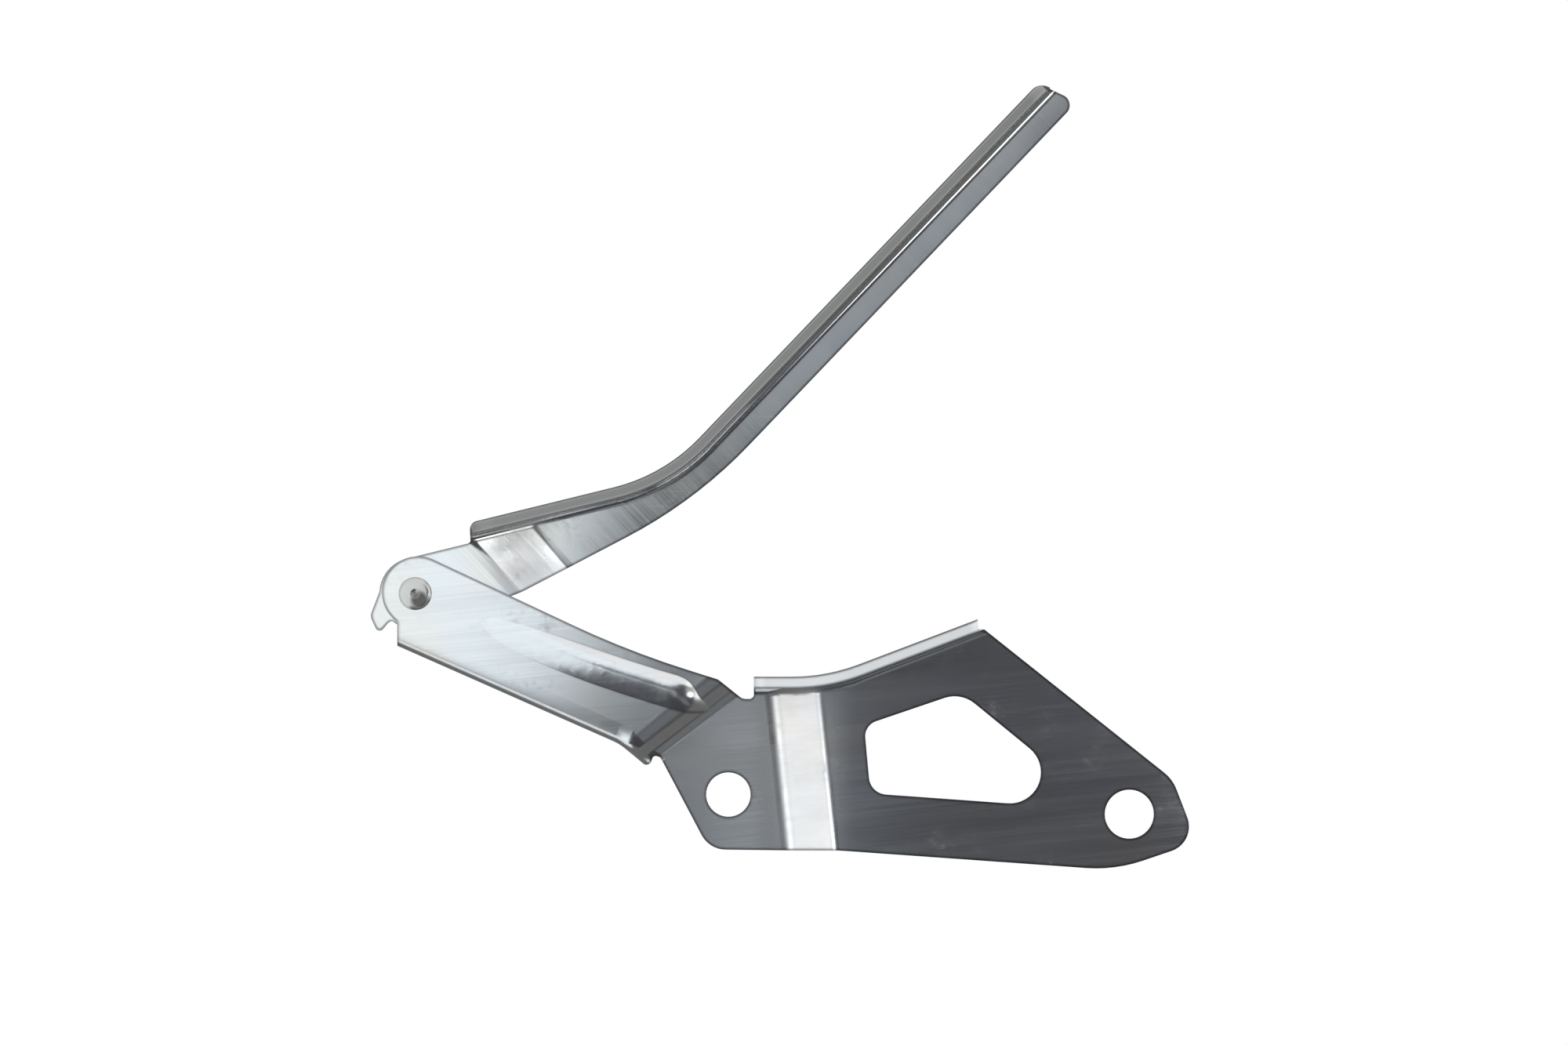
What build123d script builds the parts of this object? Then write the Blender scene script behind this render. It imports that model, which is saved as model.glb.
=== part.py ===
from build123d import *
import os
from math import asin, atan2, cos, degrees, hypot, radians, sin, tan

# Hood hinge of two folded steel sheets on one rivet, shown part-way open. Millimetres.
# The body wall is the plane y = 0, the viewer of the hinge stands on the -Y side, +Z is up.
# The origin is the centre of the front body bolt hole, on the face that seats on the body.

# Sheet steel, the inside radius of its folded edges, and of the joggles that set its planes apart
sheet = 3.0
bend_radius = 2.0
step_radius = 4.0
step_slope = 40.0

# Body bolt holes, the rear one placed from the front one
front_hole_radius = 6.25
rear_hole_radius = 5.65
hole_pitch = 102.4
hole_rise = 5.1

# Depth of the bracket's planes, each measured from the one behind it
rear_pad_step = 8.0
arm_step = 4.5

# Pivot axis, and the eyes round it
pivot_x = -182.2
pivot_z = 56.4
bracket_eye_radius = 9.2
bracket_eye_shift_x = 0.7
bracket_eye_shift_z = 0.3
hood_eye_radius = 9.2

# Rivet: a tenon upset over the bracket, a shoulder for the hood arm, and a rear head
tenon_radius = 3.0
shoulder_radius = 4.5
front_head_radius = 4.2
front_head_height = 1.7
rear_head_radius = 7.0
rear_head_height = 2.4
running_clearance = 0.06
end_clearance = 0.05
washer_radius = 7.6
washer_thickness = 0.8

# Bracket arm: its straight lower edge, the flange folded back from it, and its upper edge
arm_end_x = -4.6
arm_end_z = -13.4
arm_flange_depth = 9.0
arm_lower_knee = (-130.2, 18.0)
arm_lower_knee_radius = 12.0
arm_flange_end = (-122.7, 11.7)
arm_upper_knee = (-127.9, 41.7)
arm_upper_knee_radius = 240.0
arm_shoulder = (-105.0, 34.5)

# Pressed rib of the bracket arm: its middle line, an arc from the pivot side, and its section,
# which is full from one share of its length to another
rib_start = (8.2, -3.3)
rib_heading = -25.0
rib_turn = 10.4
rib_turn_radius = 411.0
rib_full_share = 0.6
rib_dive_share = 0.85
rib_height = 1.5
rib_start_height = 0.3
rib_nose_height = 0.6
rib_start_depth = 0.5
rib_wall = 2.0
rib_half_width = 4.3
rib_nose_half_width = 2.2
rib_sections = 18

# Joggle from the arm to the rear pad, and from the rear pad to the front plate:
# the point that each one's foot or top passes, and the way it runs down, in degrees
arm_step_foot = (-112.9, 21.8)
arm_step_heading = -52.5
pad_step_top = (-88.8, 10.8)
pad_step_heading = 6.0
pad_step_slope = 35.0

# Bracket plate: relief between arm and flange, the top flange, and the outline round the holes
relief_z = 29.5
relief_left_x = -98.8
flange_left_x = -95.9
flange_z = 35.2
flange_knee_x = -77.3
flange_knee_radius = 48.0
flange_slope = 20.8
flange_right_x = -38.8
flange_front_y = -18.5
flange_corner_radius = 3.0
crown = (-37.0, 47.2)
nose_top = (11.1, 8.9)
nose_top_radius = 10.0
nose_tip = (17.3, -7.2)
nose_tip_radius = 6.6
nose_foot = (-3.6, -14.3)
nose_foot_radius = 37.0
plate_knee = (-74.2, -9.3)
heel = (-107.3, -8.9)
heel_radius = 7.0
waist = (-119.8, 14.7)
waist_radius = 1.6
notch = (-121.5, 15.1)
notch_radius = 0.9

# Lightening cut-out of the plate: corner and radius, clockwise from the upper left
cut_out = (
    (-67.7, 22.7, 4.0),
    (-43.0, 31.1, 8.0),
    (-6.2, 1.0, 7.9),
    (-66.1, 5.3, 4.6),
)

# Hood arm, from the pivot: the flange's straight stretches, the web below it, and the joggle
hood_flange_offset = 14.2
hood_first_angle = 13.8
hood_second_angle = 46.3
hood_knee_x = 63.4
hood_knee_radius = 45.0
hood_length = 138.3
hood_flange_left_x = 14.0
hood_flange_width = 24.0
hood_corner_radius = 6.0
hood_far_radius = 3.6
hood_tip_radius = 2.8
hood_tip_angle = -25.0
web_width = 10.4
web_heel = (27.0, 0.3)
web_heel_radius = 20.0
web_first_angle = 27.6
web_knee_radius = 120.0
hood_step = 7.2
hood_step_slope = 26.0
hood_step_heading = 42.0
hood_step_top = (21.2, 4.9)

# Stop lug of the hood arm: corner and radius, from the pivot
hook = (
    (-8.8, 1.5, 0.0),
    (-11.6, -5.8, 2.6),
    (-9.4, -10.4, 1.1),
    (-6.6, -7.1, 1.6),
    (0.0, -6.9, 0.0),
)

# Hood bolt holes in the hood arm's flange: along the flange from its far end
hood_hole_radius = 4.5
hood_hole_inset = 22.0
hood_hole_pitch = 70.0

# Planes that follow from the depths above: front and rear faces of each stretch of sheet
plate_front_y = -sheet
pad_rear_y = -rear_pad_step
pad_front_y = pad_rear_y - sheet
arm_rear_y = pad_rear_y - arm_step
arm_front_y = arm_rear_y - sheet
hood_eye_front_y = arm_rear_y + washer_thickness + end_clearance
hood_eye_rear_y = hood_eye_front_y + sheet
hood_web_rear_y = hood_eye_rear_y + hood_step
hood_flange_front_y = hood_web_rear_y - hood_flange_width
bend_depth = sheet + bend_radius
reach = 400.0


def turned(distance, angle):
    """The step (x, z) of the given length at an angle above +X."""
    return distance * cos(radians(angle)), distance * sin(radians(angle))


def moved(point, step):
    return point[0] + step[0], point[1] + step[1]


def crossing(first, first_angle, second, second_angle):
    """The point where two lines meet, each given by a point and an angle."""
    ax, az = turned(1, first_angle)
    bx, bz = turned(1, second_angle)
    dx = second[0] - first[0]
    dz = second[1] - first[1]
    along = (dx * bz - dz * bx) / (ax * bz - az * bx)
    return moved(first, (along * ax, along * az))


def tangent_touch(centre, radius, point, side):
    """The point of a circle where the line from an outside point touches it, on one side."""
    dx = point[0] - centre[0]
    dz = point[1] - centre[1]
    spread = 90 - degrees(asin(radius / hypot(dx, dz)))
    return moved(centre, turned(radius, degrees(atan2(dz, dx)) + side * spread))


def shape(*corners):
    """A flat closed face from its corners, each x, z and the radius that rounds it."""
    line = FilletPolyline(*[corner[:2] for corner in corners], radius=[corner[2] for corner in corners], close=True)
    return make_face(line)


def slab(face, front_y, rear_y):
    """The face, drawn in the X-Z plane, as a block from one depth to another."""
    return extrude(Pos(0, rear_y, 0) * (Plane.XZ * face), amount=rear_y - front_y, dir=(0, -1, 0))


def stepped_block(joggle, high_y, radii, closed_y):
    """A long block with one face that steps back from high_y, along a joggle."""
    corner, heading, slope, rise = joggle
    low_y = high_y + rise
    run = rise / tan(radians(slope))
    step = FilletPolyline((-reach, high_y), (0, high_y), (run, low_y), (reach, low_y), radius=list(radii))
    back = Polyline((reach, low_y), (reach, closed_y), (-reach, closed_y), (-reach, high_y))
    down = turned(1, heading)
    plane = Plane(origin=(corner[0], 0, corner[1]), x_dir=(down[0], 0, down[1]), z_dir=(-down[1], 0, down[0]))
    return extrude(plane * make_face(step + back), amount=reach, both=True)


def front_step(joggle, front_y, closed_y):
    """The stepped block whose step is the front face of a sheet.

    A joggle is the point on its top edge, the way it runs down, its slope and its rise.
    """
    return stepped_block(joggle, front_y, (step_radius + sheet, step_radius), closed_y)


def rear_step(joggle, front_y, closed_y):
    """The stepped block whose step is the rear face of the same sheet."""
    corner, heading, slope, rise = joggle
    shift = turned(-sheet * tan(radians(slope / 2)), heading)
    behind = (moved(corner, shift), heading, slope, rise)
    return stepped_block(behind, front_y + sheet, (step_radius, step_radius + sheet), closed_y)


def corner_rounding(corner, outward, front_y, radius):
    """What is trimmed to round the front corner of a flange that ends at a point, running outward."""
    out = turned(1, outward)
    plane = Plane(origin=(corner[0], front_y, corner[1]), x_dir=(out[0], 0, out[1]), z_dir=(-out[1], 0, out[0]))
    trimmed = Rectangle(2 * radius, 2 * radius) - Pos(-radius, radius) * Circle(radius)
    return extrude(plane * trimmed, amount=bend_depth, both=True)


def fold_edges(block, side, depth):
    """The edges where the walls that face one side meet the stepped face, away from one depth."""
    edges = []
    for face in block.faces():
        normal = face.normal_at(face.center())
        if abs(normal.Y) < 0.01 and normal.Z * side > 0.5:
            for edge in face.edges():
                if abs(edge.center().Y - depth) > 0.1 and abs(edge.tangent_at(0.5).Y) < 0.9:
                    edges.append(edge)
    return edges


def pivot_point(point):
    """A point given from the pivot, in the hinge's own frame."""
    return point[0] + pivot_x, point[1] + pivot_z


def pivot_disc(radius, front_y, rear_y):
    return slab(Pos(pivot_x, pivot_z) * Circle(radius), front_y, rear_y)


def arm_joggle():
    """The joggle from the arm to the rear pad, placed by its foot."""
    top = moved(arm_step_foot, turned(-arm_step / tan(radians(step_slope)), arm_step_heading))
    return top, arm_step_heading, step_slope, arm_step


def arm_limit_face():
    """Everything on the arm's side of the joggle's foot, left of the relief."""
    past_foot = moved(arm_step_foot, turned((step_radius + sheet) * tan(radians(step_slope / 2)), arm_step_heading))
    low = moved(past_foot, turned(-reach, arm_step_heading + 90))
    meeting = crossing(past_foot, arm_step_heading + 90, (relief_middle_x(), 0), 90)
    return low, meeting


def relief_middle_x():
    return (relief_left_x + flange_left_x) / 2


def arm_sheet():
    """The bracket's arm with its lower edge folded back, down to the foot of its joggle."""
    lower_angle = degrees(atan2(arm_lower_knee[1] - arm_end_z - pivot_z, arm_lower_knee[0] - arm_end_x - pivot_x))
    end_angle = degrees(atan2(arm_flange_end[1] - arm_lower_knee[1], arm_flange_end[0] - arm_lower_knee[0]))

    def above(inset, knee_radius):
        knee = crossing(
            moved(arm_lower_knee, turned(inset, lower_angle + 90)), lower_angle,
            moved(arm_lower_knee, turned(inset, end_angle + 90)), end_angle,
        )
        start = moved(knee, turned(-reach, lower_angle))
        end = moved(knee, turned(reach, end_angle))
        return shape((*start, 0), (*knee, knee_radius), (*end, 0), (reach, reach, 0), (-reach, reach, 0))

    rear_y = arm_front_y + arm_flange_depth
    outer = front_step(arm_joggle(), arm_front_y, reach)
    outer = outer & slab(above(0, arm_lower_knee_radius), -reach, reach)
    outer = fillet(fold_edges(outer, -1, reach), bend_depth)
    inner = rear_step(arm_joggle(), arm_front_y, reach)
    inner = inner & slab(above(sheet, arm_lower_knee_radius + sheet), -reach, reach)
    inner = fillet(fold_edges(inner, -1, reach), bend_radius)
    low, meeting = arm_limit_face()
    limit = shape((*low, 0), (*meeting, 0), (meeting[0], reach, 0), (-reach, reach, 0), (-reach, low[1], 0))
    return (outer - inner) & slab(limit, -reach, rear_y)


def rear_pad_sheet():
    """The flat sheet round the rear body hole, between the two joggles."""
    low, meeting = arm_limit_face()
    limit = shape((*low, 0), (*meeting, 0), (meeting[0], -reach, 0), (low[0], -reach, 0))
    return slab(limit, pad_front_y, pad_rear_y)


def plate_sheet():
    """The bracket's plate right of the relief, with its joggle and its top flange."""
    def below(inset, left_x, knee_radius):
        knee = crossing((0, flange_z - inset), 0, moved((flange_knee_x, flange_z), turned(-inset, flange_slope + 90)),
                        flange_slope)
        end = moved(knee, turned(reach, flange_slope))
        return shape((left_x, flange_z - inset, 0), (*knee, knee_radius), (*end, 0), (reach, -reach, 0),
                     (left_x, -reach, 0))

    joggle = (pad_step_top, pad_step_heading, pad_step_slope, rear_pad_step)
    outer = rear_step(joggle, pad_front_y, flange_front_y)
    outer = outer & slab(below(0, relief_middle_x(), flange_knee_radius), -reach, reach)
    outer = fillet(fold_edges(outer, 1, flange_front_y), bend_depth)
    inner = front_step(joggle, pad_front_y, -reach)
    inner = inner & slab(below(sheet, flange_left_x - reach / 2, flange_knee_radius + sheet), -reach, reach)
    inner = fillet(fold_edges(inner, 1, -reach), bend_radius)
    left_corner = corner_rounding((flange_left_x, flange_z), 180, flange_front_y, flange_corner_radius)
    right_corner = corner_rounding(plate_flange_end(), flange_slope, flange_front_y, flange_corner_radius)
    return outer - inner - left_corner - right_corner


def plate_flange_end():
    """The right end of the plate's top flange, on its outer face."""
    return crossing((flange_knee_x, flange_z), flange_slope, (flange_right_x, 0), 90)


def bracket_outline():
    """The bracket seen from the front, with its eye, cut-out and bolt holes."""
    eye = pivot_point((bracket_eye_shift_x, bracket_eye_shift_z))
    touch = tangent_touch(eye, bracket_eye_radius, arm_upper_knee, 1)
    end = pivot_point((arm_end_x, arm_end_z))
    plate = shape(
        (*touch, 0),
        (*arm_upper_knee, arm_upper_knee_radius),
        (*arm_shoulder, 2.0),
        (relief_left_x, relief_z, 2.6),
        (flange_left_x, relief_z, 1.2),
        (flange_left_x, flange_z, 0),
        (flange_knee_x, flange_z, flange_knee_radius),
        (*plate_flange_end(), 0),
        (flange_right_x, crown[1], 0.6),
        (*crown, 0.8),
        (*nose_top, nose_top_radius),
        (*nose_tip, nose_tip_radius),
        (*nose_foot, nose_foot_radius),
        (*plate_knee, 0),
        (*heel, heel_radius),
        (*waist, waist_radius),
        (*notch, notch_radius),
        (*arm_flange_end, 1.4),
        (*arm_lower_knee, arm_lower_knee_radius),
        (*end, 0),
        (end[0], eye[1], 0),
        (*eye, 0),
    )
    face = plate + Pos(*eye) * Circle(bracket_eye_radius)
    face = face - shape(*cut_out) - Circle(front_hole_radius)
    face = face - Pos(-hole_pitch, hole_rise) * Circle(rear_hole_radius)
    return face - Pos(pivot_x, pivot_z) * Circle(tenon_radius)


def eased(value, start, end):
    """From 0 to 1, gently, as a value goes from start to end."""
    share = min(max((value - start) / (end - start), 0), 1)
    return share * share * (3 - 2 * share)


def rib_section(middle_line, share, wall):
    """The rib's cross-section at a share of its length: an arched crest over walls of the given depth."""
    rise = eased(share, 0, rib_full_share)
    dive = eased(share, rib_dive_share, 1)
    half_width = rib_half_width + (rib_nose_half_width - rib_half_width) * dive
    height = rib_height + (rib_start_height - rib_height) * (1 - rise) + (rib_nose_height - rib_height) * dive
    depth = rib_start_depth * (1 - rise) + (arm_step + rib_start_depth) * dive
    point = middle_line @ share
    along = middle_line % share
    plane = Plane(
        origin=(pivot_x + point.X, arm_front_y + depth, pivot_z + point.Y),
        x_dir=(-along.Y, 0, along.X),
        z_dir=(along.X, 0, along.Y),
    )
    crest = ThreePointArc((-half_width, 0), (0, height), (half_width, 0))
    walls = Polyline((half_width, 0), (half_width, -wall), (-half_width, -wall), (-half_width, 0))
    return plane * make_face(crest + walls)


def rib_form(wall):
    """The rib as a form: it rises out of the sheet by the eye, is full before the joggle, and dives into the pad."""
    middle_line = JernArc(rib_start, turned(1, rib_heading), rib_turn_radius, rib_turn)
    return loft([rib_section(middle_line, number / rib_sections, wall) for number in range(rib_sections + 1)])


def body_bracket():
    """The lower stamping, bolted to the body."""
    folded = arm_sheet() + rear_pad_sheet() + plate_sheet()
    bracket = folded & slab(bracket_outline(), -reach, reach)
    return bracket + rib_form(rib_wall) - Pos(0, sheet, 0) * rib_form(2 * sheet)


def hood_flange_knee():
    """The corner between the flange's two straight stretches, from the pivot."""
    over_pivot = turned(hood_flange_offset, hood_first_angle + 90)
    return crossing(over_pivot, hood_first_angle, (hood_knee_x, 0), 90)


def hood_outline():
    """The hood arm seen from the front, from the pivot, with its eye and stop lug."""
    over_eye = turned(hood_flange_offset - bend_depth, hood_first_angle + 90)
    knee = hood_flange_knee()
    far = moved(knee, turned(hood_length, hood_second_angle))
    web_line = moved(knee, turned(-web_width, hood_second_angle + 90))
    tip = crossing(far, hood_tip_angle, web_line, hood_second_angle)
    web_knee = crossing(web_heel, web_first_angle, web_line, hood_second_angle)
    touch = tangent_touch((0, 0), hood_eye_radius, web_heel, -1)
    flange_start = crossing(over_eye, hood_first_angle, (hood_flange_left_x, 0), 90)
    flange_top = crossing(knee, hood_first_angle, (hood_flange_left_x, 0), 90)
    arm = shape(
        (*over_eye, 0),
        (*flange_start, 0.8),
        (*flange_top, 2.2),
        (*knee, hood_knee_radius),
        (*far, hood_far_radius),
        (*tip, hood_tip_radius),
        (*web_knee, web_knee_radius),
        (*web_heel, web_heel_radius),
        (*touch, 0),
        (0, 0, 0),
    )
    eye = arm + Circle(hood_eye_radius) + shape(*hook)
    return eye - Circle(shoulder_radius + running_clearance)


def hood_sheet():
    """The hood arm's sheet before trimming: its joggle and its long folded flange."""
    knee = hood_flange_knee()

    def below(inset, knee_radius):
        corner = crossing(
            moved(knee, turned(-inset, hood_first_angle + 90)), hood_first_angle,
            moved(knee, turned(-inset, hood_second_angle + 90)), hood_second_angle,
        )
        start = moved(corner, turned(-reach, hood_first_angle))
        end = moved(corner, turned(reach, hood_second_angle))
        return shape((*start, 0), (*corner, knee_radius), (*end, 0), (reach, -reach, 0), (-reach, -reach, 0))

    joggle = (hood_step_top, hood_step_heading, hood_step_slope, hood_step)
    outer = rear_step(joggle, hood_eye_front_y, hood_flange_front_y)
    outer = outer & slab(below(0, hood_knee_radius), -reach, reach)
    outer = fillet(fold_edges(outer, 1, hood_flange_front_y), bend_depth)
    inner = front_step(joggle, hood_eye_front_y, -reach)
    inner = inner & slab(below(sheet, hood_knee_radius + sheet), -reach, reach)
    inner = fillet(fold_edges(inner, 1, -reach), bend_radius)
    left_end = crossing(knee, hood_first_angle, (hood_flange_left_x, 0), 90)
    far_end = moved(knee, turned(hood_length, hood_second_angle))
    left_corner = corner_rounding(left_end, hood_first_angle + 180, hood_flange_front_y, hood_corner_radius)
    far_corner = corner_rounding(far_end, hood_second_angle, hood_flange_front_y, hood_corner_radius)
    return outer - inner - left_corner - far_corner


def hood_hole_centre(number):
    """The centre of a hood bolt hole on the flange's outer face, from the pivot."""
    along = hood_length - hood_hole_inset - number * hood_hole_pitch
    x, z = moved(hood_flange_knee(), turned(along, hood_second_angle))
    y = (hood_flange_front_y + hood_web_rear_y - sheet) / 2
    return x, y, z


def hood_arm():
    """The upper stamping, bolted to the hood."""
    arm = hood_sheet() & slab(hood_outline(), -reach, reach)
    out = turned(1, hood_second_angle + 90)
    for number in range(2):
        plane = Plane(origin=hood_hole_centre(number), z_dir=(out[0], 0, out[1]))
        arm = arm - extrude(plane * Circle(hood_hole_radius), amount=sheet * 1.5, both=True)
    return Pos(pivot_x, 0, pivot_z) * arm


def pivot_rivet():
    """The rivet: rear head, shoulder, tenon, and the head formed over the bracket with its dimple."""
    shoulder_end = hood_eye_rear_y + end_clearance
    rear_end = shoulder_end + rear_head_height
    front_end = arm_front_y - front_head_height
    half = make_face(
        Polyline((0, front_end + 0.5), (1.2, front_end), (2.9, front_end + 0.08))
        + ThreePointArc((2.9, front_end + 0.08), (3.8, front_end + 0.5), (front_head_radius, arm_front_y - 0.4))
        + Polyline((front_head_radius, arm_front_y - 0.4), (front_head_radius, arm_front_y),
                   (tenon_radius, arm_front_y), (tenon_radius, arm_rear_y), (shoulder_radius, arm_rear_y),
                   (shoulder_radius, shoulder_end), (rear_head_radius, shoulder_end),
                   (rear_head_radius, shoulder_end + 0.8))
        + ThreePointArc((rear_head_radius, shoulder_end + 0.8), (rear_head_radius - 1.3, rear_end - 0.45),
                        (rear_head_radius - 3.4, rear_end))
        + Polyline((rear_head_radius - 3.4, rear_end), (0, rear_end), (0, front_end + 0.5))
    )
    return Pos(pivot_x, 0, pivot_z) * revolve(half, Axis.Y)


def pivot_washer():
    """The thin bearing washer between the two eyes."""
    ring = pivot_disc(washer_radius, arm_rear_y, arm_rear_y + washer_thickness)
    return ring - pivot_disc(shoulder_radius + running_clearance, arm_rear_y, arm_rear_y + washer_thickness)


pieces = {
    "body_bracket": body_bracket(),
    "hood_arm": hood_arm(),
    "pivot_rivet": pivot_rivet(),
    "pivot_washer": pivot_washer(),
}
os.makedirs("parts", exist_ok=True)
for name, piece in pieces.items():
    export_step(piece, f"parts/{name}.step")
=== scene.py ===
# Looks of a zinc-plated hood hinge: two stamped steel sheets, a rivet and a washer.
# Metres. The body wall is y = 0, the viewer stands on the -Y side, +Z is up.
import math

import bpy
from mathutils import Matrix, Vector

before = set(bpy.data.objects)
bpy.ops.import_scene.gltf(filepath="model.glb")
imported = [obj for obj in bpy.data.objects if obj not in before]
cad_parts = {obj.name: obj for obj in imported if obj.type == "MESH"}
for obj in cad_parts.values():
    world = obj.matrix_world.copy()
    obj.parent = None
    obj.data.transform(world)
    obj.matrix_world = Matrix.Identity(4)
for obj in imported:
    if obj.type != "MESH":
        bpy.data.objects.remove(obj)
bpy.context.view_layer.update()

# Camera: the photograph's frame is 0.4 m wide at the hinge, seen square on from far away
FRAME_WIDTH = 0.4
CAMERA_DISTANCE = 6.0
VIEW_CENTRE = Vector((-0.0882, -0.0100, 0.0745))
SENSOR_WIDTH = 36.0
FAR_CLIP = 60.0

# Plating: base colours of the two tints that cloud into each other, of the rivet, and of stains
COOL_ZINC = (0.775, 0.805, 0.835, 1.0)
WARM_ZINC = (0.80, 0.795, 0.78, 1.0)
RIVET_STEEL = (0.60, 0.595, 0.575, 1.0)
STAIN = (0.40, 0.39, 0.39, 1.0)

# Grain: how rolling stretches the fine lines and the broad bands of the sheet, then each noise
# by scale, detail and roughness, and the shares of the lines in the height and in the shade
LINE_STRETCH = (30.0, 400.0, 1800.0)
BAND_STRETCH = (12.0, 60.0, 160.0)
LINE_NOISE = (1.0, 4.0, 0.6)
BAND_NOISE = (1.0, 3.0, 0.6)
PIT_NOISE = (1700.0, 2.0, 0.6)
LINES_IN_HEIGHT = 0.6
LINES_IN_SHADE = 0.45

# Clouds of the plating and its water marks: noises as above, and where each mask starts and is full
CLOUD_SIZE = 26.0
CLOUD_DETAIL = 2.0
CLOUD_DISTORTION = 0.6
CLOUD_SPAN = (0.35, 0.68)
PATCH_NOISE = (95.0, 5.0, 0.62)
PATCH_SPAN = (0.52, 0.74)
SPECK_NOISE = (620.0, 3.0, 0.6)
SPECK_SPAN = (0.35, 0.7)

# Scratches: direction in degrees and offset of each set, their stretch, noise, mask and strength
SCRATCH_SETS = ((18.0, 0.3), (-52.0, 1.7), (77.0, 3.1))
SCRATCH_STRETCH = (45.0, 60.0, 2600.0)
SCRATCH_NOISE = (1.0, 1.0, 0.4)
SCRATCH_SPAN = (0.70, 0.76)
SCRATCH_AMOUNT = 0.2

# Rims: how far a dull band reaches in from each edge, the share of it that is rolled over, and how
# far the normal has turned (1 - cosine) where the band and the thin dark line at the edge start and
# are full. Band and line darken the colour partly as real dull, burred steel and partly as painted
# shade along every edge
RIM_REACH = 0.0016
ROLL_SHARE = 0.1
BEVEL_SAMPLES = 8
RIM_SPAN = (0.005, 0.045)
BURR_AND_SHADE_SPAN = (0.03, 0.16)
RIM_STEEL_AND_PAINTED_SHADE = (0.30, 0.30, 0.31, 1.0)
BURR_AND_PAINTED_SHADE = (0.07, 0.07, 0.075, 1.0)

# Strength of each of these in the colour
MARKS_IN_COLOUR = 0.35
GRAIN_IN_COLOUR = 0.14
GRAIN_COLOUR_SPAN = (0.3, 0.75)
RIM_IN_COLOUR = 0.8
RIM_IN_MATT = 0.65
BURR_AND_SHADE_IN_COLOUR = 0.4
BURR_AND_SHADE_IN_MATT = 0.5

# Roughness: what the grain takes from it and adds to it, and what the rest adds
GRAIN_ROUGH_SPAN = (0.3, 0.7)
GRAIN_SMOOTHER = 0.03
GRAIN_ROUGHER = 0.05
MARKS_ROUGHER = 0.12
MATT_ROUGHER = 0.25
DRAWN_ROUGHER = 0.16
SCRATCH_ROUGHER = 0.12

# Matt places keep a fifth of the metal's mirror, and the grain is a hundredth of a millimetre deep
MATT_LOSS = 0.8
BUMP_STRENGTH = 0.12
BUMP_DISTANCE = 0.00001

# Bare steel where each flange ends in a sheared edge: its colour, which is painted light, a lit copy on
# the bracket and a shaded copy on the arm; the x that it lies right of and the y that it lies in front
# of, with how far both fade; and the slope at which it faces forward
BRACKET_SHEARED_PAINTED_LIGHT = (0.78, 0.81, 0.83, 1.0)
BRACKET_FLANGE = (-0.098, -0.0115)
ARM_SHEARED_PAINTED_SHADE = (0.24, 0.245, 0.24, 1.0)
ARM_FLANGE = (-0.1700, -0.0122)
FLANGE_FADE = 0.0002
SHEARED_FACING = (-0.05, -0.2)

# The steel is duller where it was drawn over a joggle: from one x to another, and how far it fades
BRACKET_DRAWN = (-0.092, -0.075)
ARM_DRAWN = (-0.160, -0.148)
DRAWN_FADE = 0.005

# Painted shade in the dish of the rivet's head, a dark spot standing for shade and dark reflection
# there: its middle, its radius, how far it fades, and the front of the head, with how far back from it
# the painted shade ends
DIMPLE_PAINTED_SHADE = (0.10, 0.098, 0.093, 1.0)
DIMPLE_SHADE_CENTRE = (-0.1811, 0.0548)
DIMPLE_SHADE_RADIUS = 0.0021
DIMPLE_SHADE_FADE = 0.0007
RIVET_FRONT_Y = -0.0165
DIMPLE_SHADE_DEPTH = 0.0002

# Finish of each CAD node; mill_turn is the direction in which its sheet was rolled, in degrees
FINISHES = {
    "body_bracket": dict(
        name="bracket_zinc", roughness=0.18, mill_turn=6.0,
        flange=BRACKET_FLANGE, matt_colour_painted_light_and_shade=BRACKET_SHEARED_PAINTED_LIGHT, drawn=BRACKET_DRAWN,
    ),
    "hood_arm": dict(
        name="hood_arm_zinc", roughness=0.15, mill_turn=-46.0,
        flange=ARM_FLANGE, matt_colour_painted_light_and_shade=ARM_SHEARED_PAINTED_SHADE, drawn=ARM_DRAWN,
    ),
    "pivot_rivet": dict(name="rivet_zinc", roughness=0.3, tints=(RIVET_STEEL, RIVET_STEEL)),
    "pivot_washer": dict(name="washer_steel", roughness=0.4, tints=(RIVET_STEEL, RIVET_STEEL)),
}

# Surroundings as the metal meets them: the brightness of each part, and the components of the
# direction between which it starts and is full
WHITE = 1.0
FRONT_ROOM = 0.08
BACK_ROOM = 0.5
ROOM_SPAN_Y = (-0.3, 0.5)
RIGHT_GLOW = 1.25
RIGHT_SPAN_X = (0.3, 0.6)
TOP_GLOW = 1.0
TOP_SPAN_Z = (0.3, 0.6)
LEFT_SPAN_X = (-0.2, -0.35)
LEFT_SPAN_Y = (0.4, 0.15)
FLOOR_DARK = 0.16
FLOOR_SPAN_Z = (-0.15, -0.45)

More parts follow.
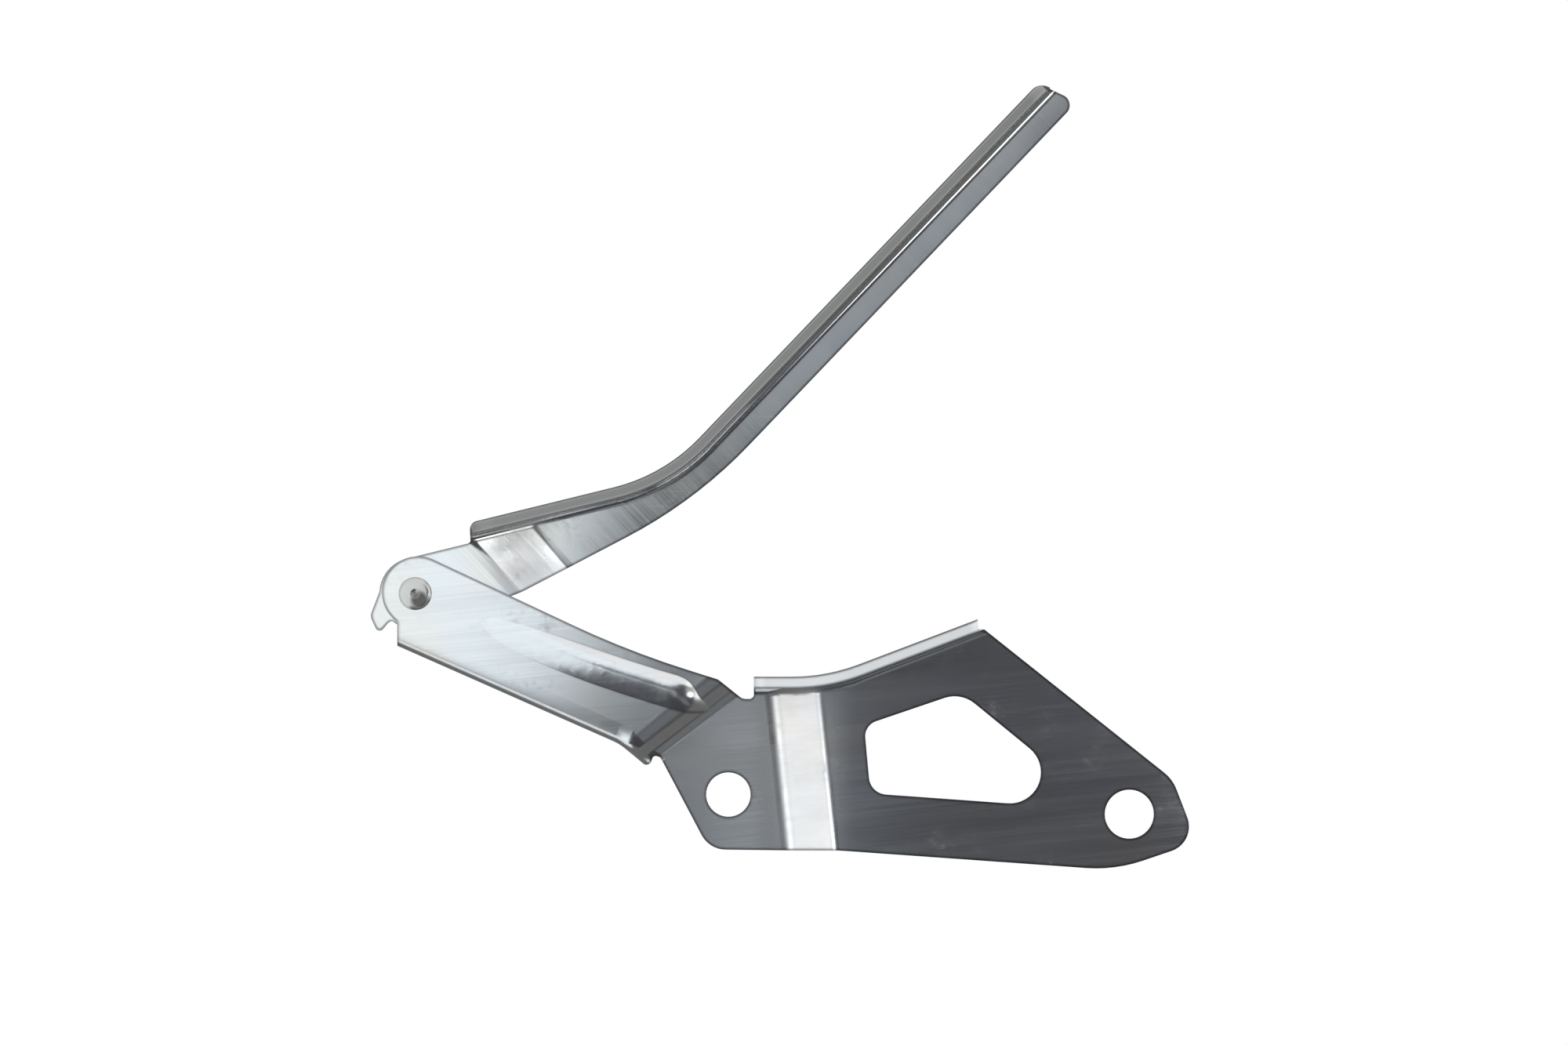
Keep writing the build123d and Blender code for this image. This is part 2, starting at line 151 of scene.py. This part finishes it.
# Card in front: its distance, its left, lower, right and upper edge, its tone where it isn't lit,
# and its patches, each by centre, half sizes, turn, softness of the edge and colour. A later patch
# lies over the earlier ones.
CARD_DISTANCE = 0.25
CARD_EDGES = (-1.50, -2.50, 0.32, 0.215)
CARD_DARK = (0.062, 0.062, 0.070, 1.0)
CARD_PATCHES = (
    ((0.068, -0.212), (0.22, 0.05), -52.3, 0.2, (0.17, 0.18, 0.19, 1.0)),
    ((-0.097, 0.005), (0.015, 0.06), 0.0, 0.6, (0.38, 0.41, 0.44, 1.0)),
    ((0.560, 0.100), (0.52, 0.20), 0.0, 0.05, (0.42, 0.42, 0.41, 1.0)),
    ((0.150, 0.005), (0.075, 0.046), 0.0, 0.5, (3.6, 3.7, 3.8, 1.0)),
    ((-0.5298, 0.5298), (3.0, 0.60), 45.0, 0.01, (1.0, 1.02, 1.03, 1.0)),
    ((-0.5545, 0.2444), (0.46, 5.0), -25.0, 0.028, (1.06, 1.12, 1.14, 1.0)),
    ((-0.143, 0.045), (0.020, 0.008), -26.0, 0.4, (0.95, 1.0, 1.02, 1.0)),
    ((-0.116, 0.079), (0.033, 0.015), 32.0, 0.35, (0.07, 0.07, 0.07, 1.0)),
    ((-0.058, 0.138), (0.060, 0.015), 46.0, 0.4, (0.25, 0.28, 0.31, 1.0)),
)

# Floor well below the hinge
FLOOR_Z = -0.3
FLOOR_RADIUS = 4.0
FLOOR_SIDES = 96
FLOOR_PAINT = (0.82, 0.82, 0.82, 1.0)
FLOOR_ROUGHNESS = 0.8


def new_node(tree, kind, inputs=None, **settings):
    """A shader node; each input, by label or index, is a socket to link or a plain value."""
    node = tree.nodes.new("ShaderNode" + kind)
    for name, value in settings.items():
        setattr(node, name, value)
    for key, value in (inputs or {}).items():
        if isinstance(value, bpy.types.NodeSocket):
            tree.links.new(value, node.inputs[key])
        else:
            node.inputs[key].default_value = value
    return node


def maths(tree, operation, *values, clamp=False):
    """A Math node's result."""
    inputs = dict(enumerate(values))
    return new_node(tree, "Math", inputs, operation=operation, use_clamp=clamp).outputs[0]


def times(tree, first, second):
    return maths(tree, "MULTIPLY", first, second)


def plus(tree, first, second, clamp=False):
    return maths(tree, "ADD", first, second, clamp=clamp)


def without(tree, value):
    """One minus a value."""
    return maths(tree, "SUBTRACT", 1.0, value)


def brighter(tree, first, second):
    return maths(tree, "MAXIMUM", first, second)


def vector_maths(tree, operation, *values):
    """A Vector Math node's outputs."""
    return new_node(tree, "VectorMath", dict(enumerate(values)), operation=operation).outputs


def ranged(tree, value, span, out_low=0.0, out_high=1.0):
    """Value mapped smoothly from a span to another range."""
    low, high = span
    inputs = {"Value": value, "From Min": low, "From Max": high, "To Min": out_low, "To Max": out_high}
    return new_node(tree, "MapRange", inputs, interpolation_type="SMOOTHSTEP").outputs["Result"]


def mixed(tree, factor, first, second):
    """Two colours mixed by a factor."""
    return new_node(tree, "Mix", {0: factor, 6: first, 7: second}, data_type="RGBA").outputs[2]


def blended(tree, factor, first, second):
    """Two numbers mixed by a factor."""
    return new_node(tree, "Mix", {0: factor, 2: first, 3: second}, data_type="FLOAT").outputs[0]


def noise(tree, vector, settings):
    """Noise, by scale, detail and roughness."""
    scale, detail, roughness = settings
    inputs = {"Vector": vector, "Scale": scale, "Detail": detail, "Roughness": roughness}
    return new_node(tree, "TexNoise", inputs).outputs["Fac"]


def stretched(tree, vector, stretch, turn=0.0):
    """Coordinates turned about Y and then squeezed along each axis."""
    inputs = {"Vector": vector, "Rotation": (0.0, math.radians(turn), 0.0), "Scale": stretch}
    return new_node(tree, "Mapping", inputs).outputs["Vector"]


def object_place(tree):
    """Where a point lies in its object, which here is its place in the part's own frame."""
    return new_node(tree, "TexCoord").outputs["Object"]


def new_group(name, inputs, outputs):
    """An empty shader group with its sockets: inputs by name and default, outputs by name and type."""
    tree = bpy.data.node_groups.new(name, "ShaderNodeTree")
    for label, value in inputs.items():
        socket = tree.interface.new_socket(name=label, in_out="INPUT", socket_type="NodeSocketFloat")
        socket.default_value = value
    for label, kind in outputs.items():
        tree.interface.new_socket(name=label, in_out="OUTPUT", socket_type="NodeSocket" + kind)
    return tree, tree.nodes.new("NodeGroupInput").outputs, tree.nodes.new("NodeGroupOutput").inputs


def edge_roll_group():
    """Masks of the rim band and of the thin line at each edge, which darken partly as real dull, burred
    steel and partly as painted shade, and the rolled edge's normal.
    """
    tree, given, result = new_group(
        "edge_roll", {"Radius": RIM_REACH}, {"Rim": "Float", "Line": "Float", "Normal": "Vector"}
    )
    wide = new_node(tree, "Bevel", {"Radius": given["Radius"]}, samples=BEVEL_SAMPLES)
    roll = times(tree, given["Radius"], ROLL_SHARE)
    fine = new_node(tree, "Bevel", {"Radius": roll}, samples=BEVEL_SAMPLES)
    face = new_node(tree, "NewGeometry").outputs["Normal"]
    facing = vector_maths(tree, "DOT_PRODUCT", wide.outputs["Normal"], face)["Value"]
    turned_away = without(tree, facing)
    tree.links.new(ranged(tree, turned_away, RIM_SPAN), result["Rim"])
    tree.links.new(ranged(tree, turned_away, BURR_AND_SHADE_SPAN), result["Line"])
    tree.links.new(fine.outputs["Normal"], result["Normal"])
    return tree


def rolled_sheet_group():
    """Faint mill lines of rolled sheet and the fine pitting of the plating, as a height and a shade."""
    tree, given, result = new_group("rolled_sheet", {"Turn": 0.0}, {"Height": "Float", "Shade": "Float"})
    place = object_place(tree)
    inputs = {"Vector": place, "Angle": given["Turn"]}
    along = new_node(tree, "VectorRotate", inputs, rotation_type="Y_AXIS").outputs["Vector"]
    lines = noise(tree, stretched(tree, along, LINE_STRETCH), LINE_NOISE)
    bands = noise(tree, stretched(tree, along, BAND_STRETCH), BAND_NOISE)
    pits = noise(tree, place, PIT_NOISE)
    height = plus(tree, times(tree, lines, LINES_IN_HEIGHT), times(tree, pits, 1.0 - LINES_IN_HEIGHT))
    shade = plus(tree, times(tree, lines, LINES_IN_SHADE), times(tree, bands, 1.0 - LINES_IN_SHADE))
    tree.links.new(height, result["Height"])
    tree.links.new(shade, result["Shade"])
    return tree


def plating_cloud_group():
    """Slow clouds in the passivated plating: a tint mask, and rare darker water marks."""
    tree, given, result = new_group(
        "plating_cloud", {"Size": CLOUD_SIZE}, {"Tint": "Float", "Marks": "Float"}
    )
    place = object_place(tree)
    inputs = {
        "Vector": place, "Scale": given["Size"],
        "Detail": CLOUD_DETAIL, "Distortion": CLOUD_DISTORTION,
    }
    slow = new_node(tree, "TexNoise", inputs).outputs["Fac"]
    patches = ranged(tree, noise(tree, place, PATCH_NOISE), PATCH_SPAN)
    specks = ranged(tree, noise(tree, place, SPECK_NOISE), SPECK_SPAN)
    tree.links.new(ranged(tree, slow, CLOUD_SPAN), result["Tint"])
    tree.links.new(times(tree, patches, specks), result["Marks"])
    return tree


def scratches_group():
    """Short fine scratches from handling, in three directions."""
    tree, given, result = new_group("scratches", {"Amount": SCRATCH_AMOUNT}, {"Mask": "Float"})
    place = object_place(tree)
    total = None
    for turn, offset in SCRATCH_SETS:
        shifted = vector_maths(tree, "ADD", place, (offset, 0.0, offset))[0]
        line = noise(tree, stretched(tree, shifted, SCRATCH_STRETCH, turn), SCRATCH_NOISE)
        thin = ranged(tree, line, SCRATCH_SPAN)
        total = thin if total is None else brighter(tree, total, thin)
    tree.links.new(times(tree, total, given["Amount"]), result["Mask"])
    return tree


GROUPS = {
    "edge_roll": edge_roll_group(),
    "rolled_sheet": rolled_sheet_group(),
    "plating_cloud": plating_cloud_group(),
    "scratches": scratches_group(),
}


def placed(tree, name, **values):
    """Outputs of a shared group, put into a material with its own values."""
    return new_node(tree, "Group", values, node_tree=GROUPS[name]).outputs


def sheared_mask(tree, place, flange):
    """Where a flange ends in a sheared edge that faces the viewer."""
    face = new_node(tree, "NewGeometry").outputs["Normal"]
    facing = new_node(tree, "SeparateXYZ", {0: face}).outputs["Y"]
    inward = ranged(tree, place["X"], (flange[0] - FLANGE_FADE, flange[0]))
    forward = ranged(tree, place["Y"], (flange[1] + FLANGE_FADE, flange[1]))
    return times(tree, times(tree, inward, forward), ranged(tree, facing, SHEARED_FACING))


def painted_dimple_shade_mask(tree, place, split):
    """A soft round spot of painted shade on the front of the rivet's head."""
    middle = (-DIMPLE_SHADE_CENTRE[0], 0.0, -DIMPLE_SHADE_CENTRE[1])
    offset = vector_maths(tree, "MULTIPLY_ADD", place, (1.0, 0.0, 1.0), middle)[0]
    away = vector_maths(tree, "LENGTH", offset)["Value"]
    spot = ranged(tree, away, (DIMPLE_SHADE_RADIUS + DIMPLE_SHADE_FADE, DIMPLE_SHADE_RADIUS - DIMPLE_SHADE_FADE))
    in_front = ranged(tree, split["Y"], (RIVET_FRONT_Y + DIMPLE_SHADE_DEPTH, RIVET_FRONT_Y))
    return times(tree, spot, in_front)


def drawn_mask(tree, place, drawn):
    """Where the sheet was drawn over a joggle."""
    starts = ranged(tree, place["X"], (drawn[0] - DRAWN_FADE, drawn[0] + DRAWN_FADE))
    ends = ranged(tree, place["X"], (drawn[1] + DRAWN_FADE, drawn[1] - DRAWN_FADE))
    return times(tree, starts, ends)


def zinc_plate(
    name, roughness, mill_turn=0.0, tints=(COOL_ZINC, WARM_ZINC),
    flange=None, matt_colour_painted_light_and_shade=DIMPLE_PAINTED_SHADE, drawn=None,
):
    """Bright zinc plate on sheet steel, matt where a flange was sheared, or else on a spot of painted
    shade in the rivet's dish; the matt places take a colour of painted light and shade.
    """
    material = bpy.data.materials.new(name)
    material.use_nodes = True
    tree = material.node_tree
    shader = tree.nodes["Principled BSDF"].inputs
    rim = placed(tree, "edge_roll", Radius=RIM_REACH)
    sheet = placed(tree, "rolled_sheet", Turn=math.radians(mill_turn))
    cloud = placed(tree, "plating_cloud", Size=CLOUD_SIZE)
    scratch = placed(tree, "scratches", Amount=SCRATCH_AMOUNT)
    place = object_place(tree)
    split = new_node(tree, "SeparateXYZ", {0: place}).outputs
    # The matt places take painted light: a lit copy of the sheared steel on the bracket, a shaded copy
    # on the arm, and a spot of painted shade on the rivet.
    matt = sheared_mask(tree, split, flange) if flange else painted_dimple_shade_mask(tree, place, split)

    plated = mixed(tree, cloud["Tint"], *tints)
    stained = mixed(tree, times(tree, cloud["Marks"], MARKS_IN_COLOUR), plated, STAIN)
    grain = ranged(tree, sheet["Shade"], GRAIN_COLOUR_SPAN, 0.0, GRAIN_IN_COLOUR)
    lined = mixed(tree, grain, stained, STAIN)
    # Rims and edge lines darken the colour partly as real dull, burred steel and partly as painted shade
    # along every edge.
    rimmed = mixed(tree, times(tree, rim["Rim"], RIM_IN_COLOUR), lined, RIM_STEEL_AND_PAINTED_SHADE)
    matt_painted_share = times(tree, matt, without(tree, times(tree, rim["Rim"], RIM_IN_MATT)))
    burr_and_shade = plus(tree, times(tree, matt, BURR_AND_SHADE_IN_MATT), BURR_AND_SHADE_IN_COLOUR)
    with_painted_matt = mixed(tree, matt_painted_share, rimmed, matt_colour_painted_light_and_shade)
    colour = mixed(tree, times(tree, rim["Line"], burr_and_shade), with_painted_matt, BURR_AND_PAINTED_SHADE)
    tree.links.new(colour, shader["Base Color"])
    tree.links.new(without(tree, times(tree, matt, MATT_LOSS)), shader["Metallic"])

    smoothest, roughest = roughness - GRAIN_SMOOTHER, roughness + GRAIN_ROUGHER
    rough = ranged(tree, sheet["Shade"], GRAIN_ROUGH_SPAN, smoothest, roughest)
    rough = plus(tree, rough, times(tree, cloud["Marks"], MARKS_ROUGHER))
    rough = plus(tree, rough, times(tree, matt, MATT_ROUGHER))
    if drawn:
        rough = plus(tree, rough, times(tree, drawn_mask(tree, split, drawn), DRAWN_ROUGHER))
    rough = plus(tree, rough, times(tree, scratch["Mask"], SCRATCH_ROUGHER), clamp=True)
    tree.links.new(rough, shader["Roughness"])

    height = maths(tree, "SUBTRACT", sheet["Height"], scratch["Mask"])
    bump = new_node(tree, "Bump", {
        "Strength": BUMP_STRENGTH, "Distance": BUMP_DISTANCE, "Height": height, "Normal": rim["Normal"],
    })
    tree.links.new(bump.outputs["Normal"], shader["Normal"])
    return material


def dress(node, material):
    """Gives a CAD node its finish in every slot."""
    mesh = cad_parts[node].data
    if not mesh.materials:
        mesh.materials.append(material)
    for index in range(len(mesh.materials)):
        mesh.materials[index] = material


def surroundings():
    """White all round for the camera; the metal also meets a light at the left, a soft light at the
    right and one above, a dark floor and a dim room."""
    world = bpy.data.worlds.new("studio")
    bpy.context.scene.world = world
    world.use_nodes = True
    tree = world.node_tree
    background = tree.nodes["Background"].inputs
    background["Color"].default_value = (1.0, 1.0, 1.0, 1.0)
    direction = new_node(tree, "TexCoord").outputs["Generated"]
    x, y, z = new_node(tree, "SeparateXYZ", {0: direction}).outputs
    room = ranged(tree, y, ROOM_SPAN_Y, FRONT_ROOM, BACK_ROOM)
    right = ranged(tree, x, RIGHT_SPAN_X, 0.0, RIGHT_GLOW)
    up = ranged(tree, z, TOP_SPAN_Z, 0.0, TOP_GLOW)
    left = times(tree, ranged(tree, x, LEFT_SPAN_X), ranged(tree, y, LEFT_SPAN_Y))
    down = times(tree, ranged(tree, z, FLOOR_SPAN_Z), without(tree, left))
    lit = brighter(tree, brighter(tree, room, left), brighter(tree, right, up))
    level = blended(tree, down, lit, FLOOR_DARK)
    path = new_node(tree, "LightPath").outputs
    plain = brighter(tree, path["Is Camera Ray"], path["Is Diffuse Ray"])
    tree.links.new(blended(tree, plain, level, WHITE), background["Strength"])


def card_glow():
    """The card's light: dark, with its soft patches over each other."""
    material = bpy.data.materials.new("reflector_glow")
    material.use_nodes = True
    tree = material.node_tree
    tree.nodes.clear()
    place = object_place(tree)
    colour = CARD_DARK
    for centre, size, turn, edge, patch in CARD_PATCHES:
        inputs = {
            "Vector": place, "Location": (centre[0], -CARD_DISTANCE, centre[1]),
            "Rotation": (0.0, math.radians(-turn), 0.0), "Scale": (size[0], 1.0, size[1]),
        }
        inner = new_node(tree, "Mapping", inputs, vector_type="TEXTURE").outputs["Vector"]
        away = vector_maths(tree, "LENGTH", inner)["Value"]
        colour = mixed(tree, ranged(tree, away, (1.0 + edge, 1.0 - edge)), colour, patch)
    glow = new_node(tree, "Emission", {"Color": colour})
    new_node(tree, "OutputMaterial", {"Surface": glow.outputs[0]})
    return material


def reflector():
    """A large card in front of the hinge, seen only as a reflection."""
    left, low, right, high = CARD_EDGES
    mesh = bpy.data.meshes.new("reflector")
    corners = [(left, low), (right, low), (right, high), (left, high)]
    mesh.from_pydata([(x, -CARD_DISTANCE, z) for x, z in corners], [], [(0, 1, 2, 3)])
    mesh.materials.append(card_glow())
    card = bpy.data.objects.new("reflector", mesh)
    bpy.context.scene.collection.objects.link(card)
    for kind in ("camera", "diffuse", "transmission", "volume_scatter", "shadow"):
        setattr(card, f"visible_{kind}", False)


def pale_floor():
    """A pale floor well below the hinge, which hangs in its own frame as it would on a car."""
    bpy.ops.mesh.primitive_circle_add(
        vertices=FLOOR_SIDES, radius=FLOOR_RADIUS, fill_type="NGON", location=(0.0, 0.0, FLOOR_Z)
    )
    floor = bpy.context.object
    floor.name = "floor"
    floor.visible_glossy = False
    material = bpy.data.materials.new("pale_floor")
    material.use_nodes = True
    shader = material.node_tree.nodes["Principled BSDF"].inputs
    shader["Base Color"].default_value = FLOOR_PAINT
    shader["Roughness"].default_value = FLOOR_ROUGHNESS
    floor.data.materials.append(material)


def camera():
    """A long lens, level and square to the hinge's plates."""
    data = bpy.data.cameras.new("camera")
    data.sensor_width = SENSOR_WIDTH
    data.lens = SENSOR_WIDTH * CAMERA_DISTANCE / FRAME_WIDTH
    data.clip_end = FAR_CLIP
    holder = bpy.data.objects.new("camera", data)
    holder.location = VIEW_CENTRE + Vector((0.0, -CAMERA_DISTANCE, 0.0))
    holder.rotation_euler = (math.radians(90.0), 0.0, 0.0)
    bpy.context.scene.collection.objects.link(holder)
    bpy.context.scene.camera = holder


for node_name, finish in FINISHES.items():
    dress(node_name, zinc_plate(**finish))

camera()
surroundings()
pale_floor()
reflector()

bpy.context.scene.view_settings.view_transform = "Standard"
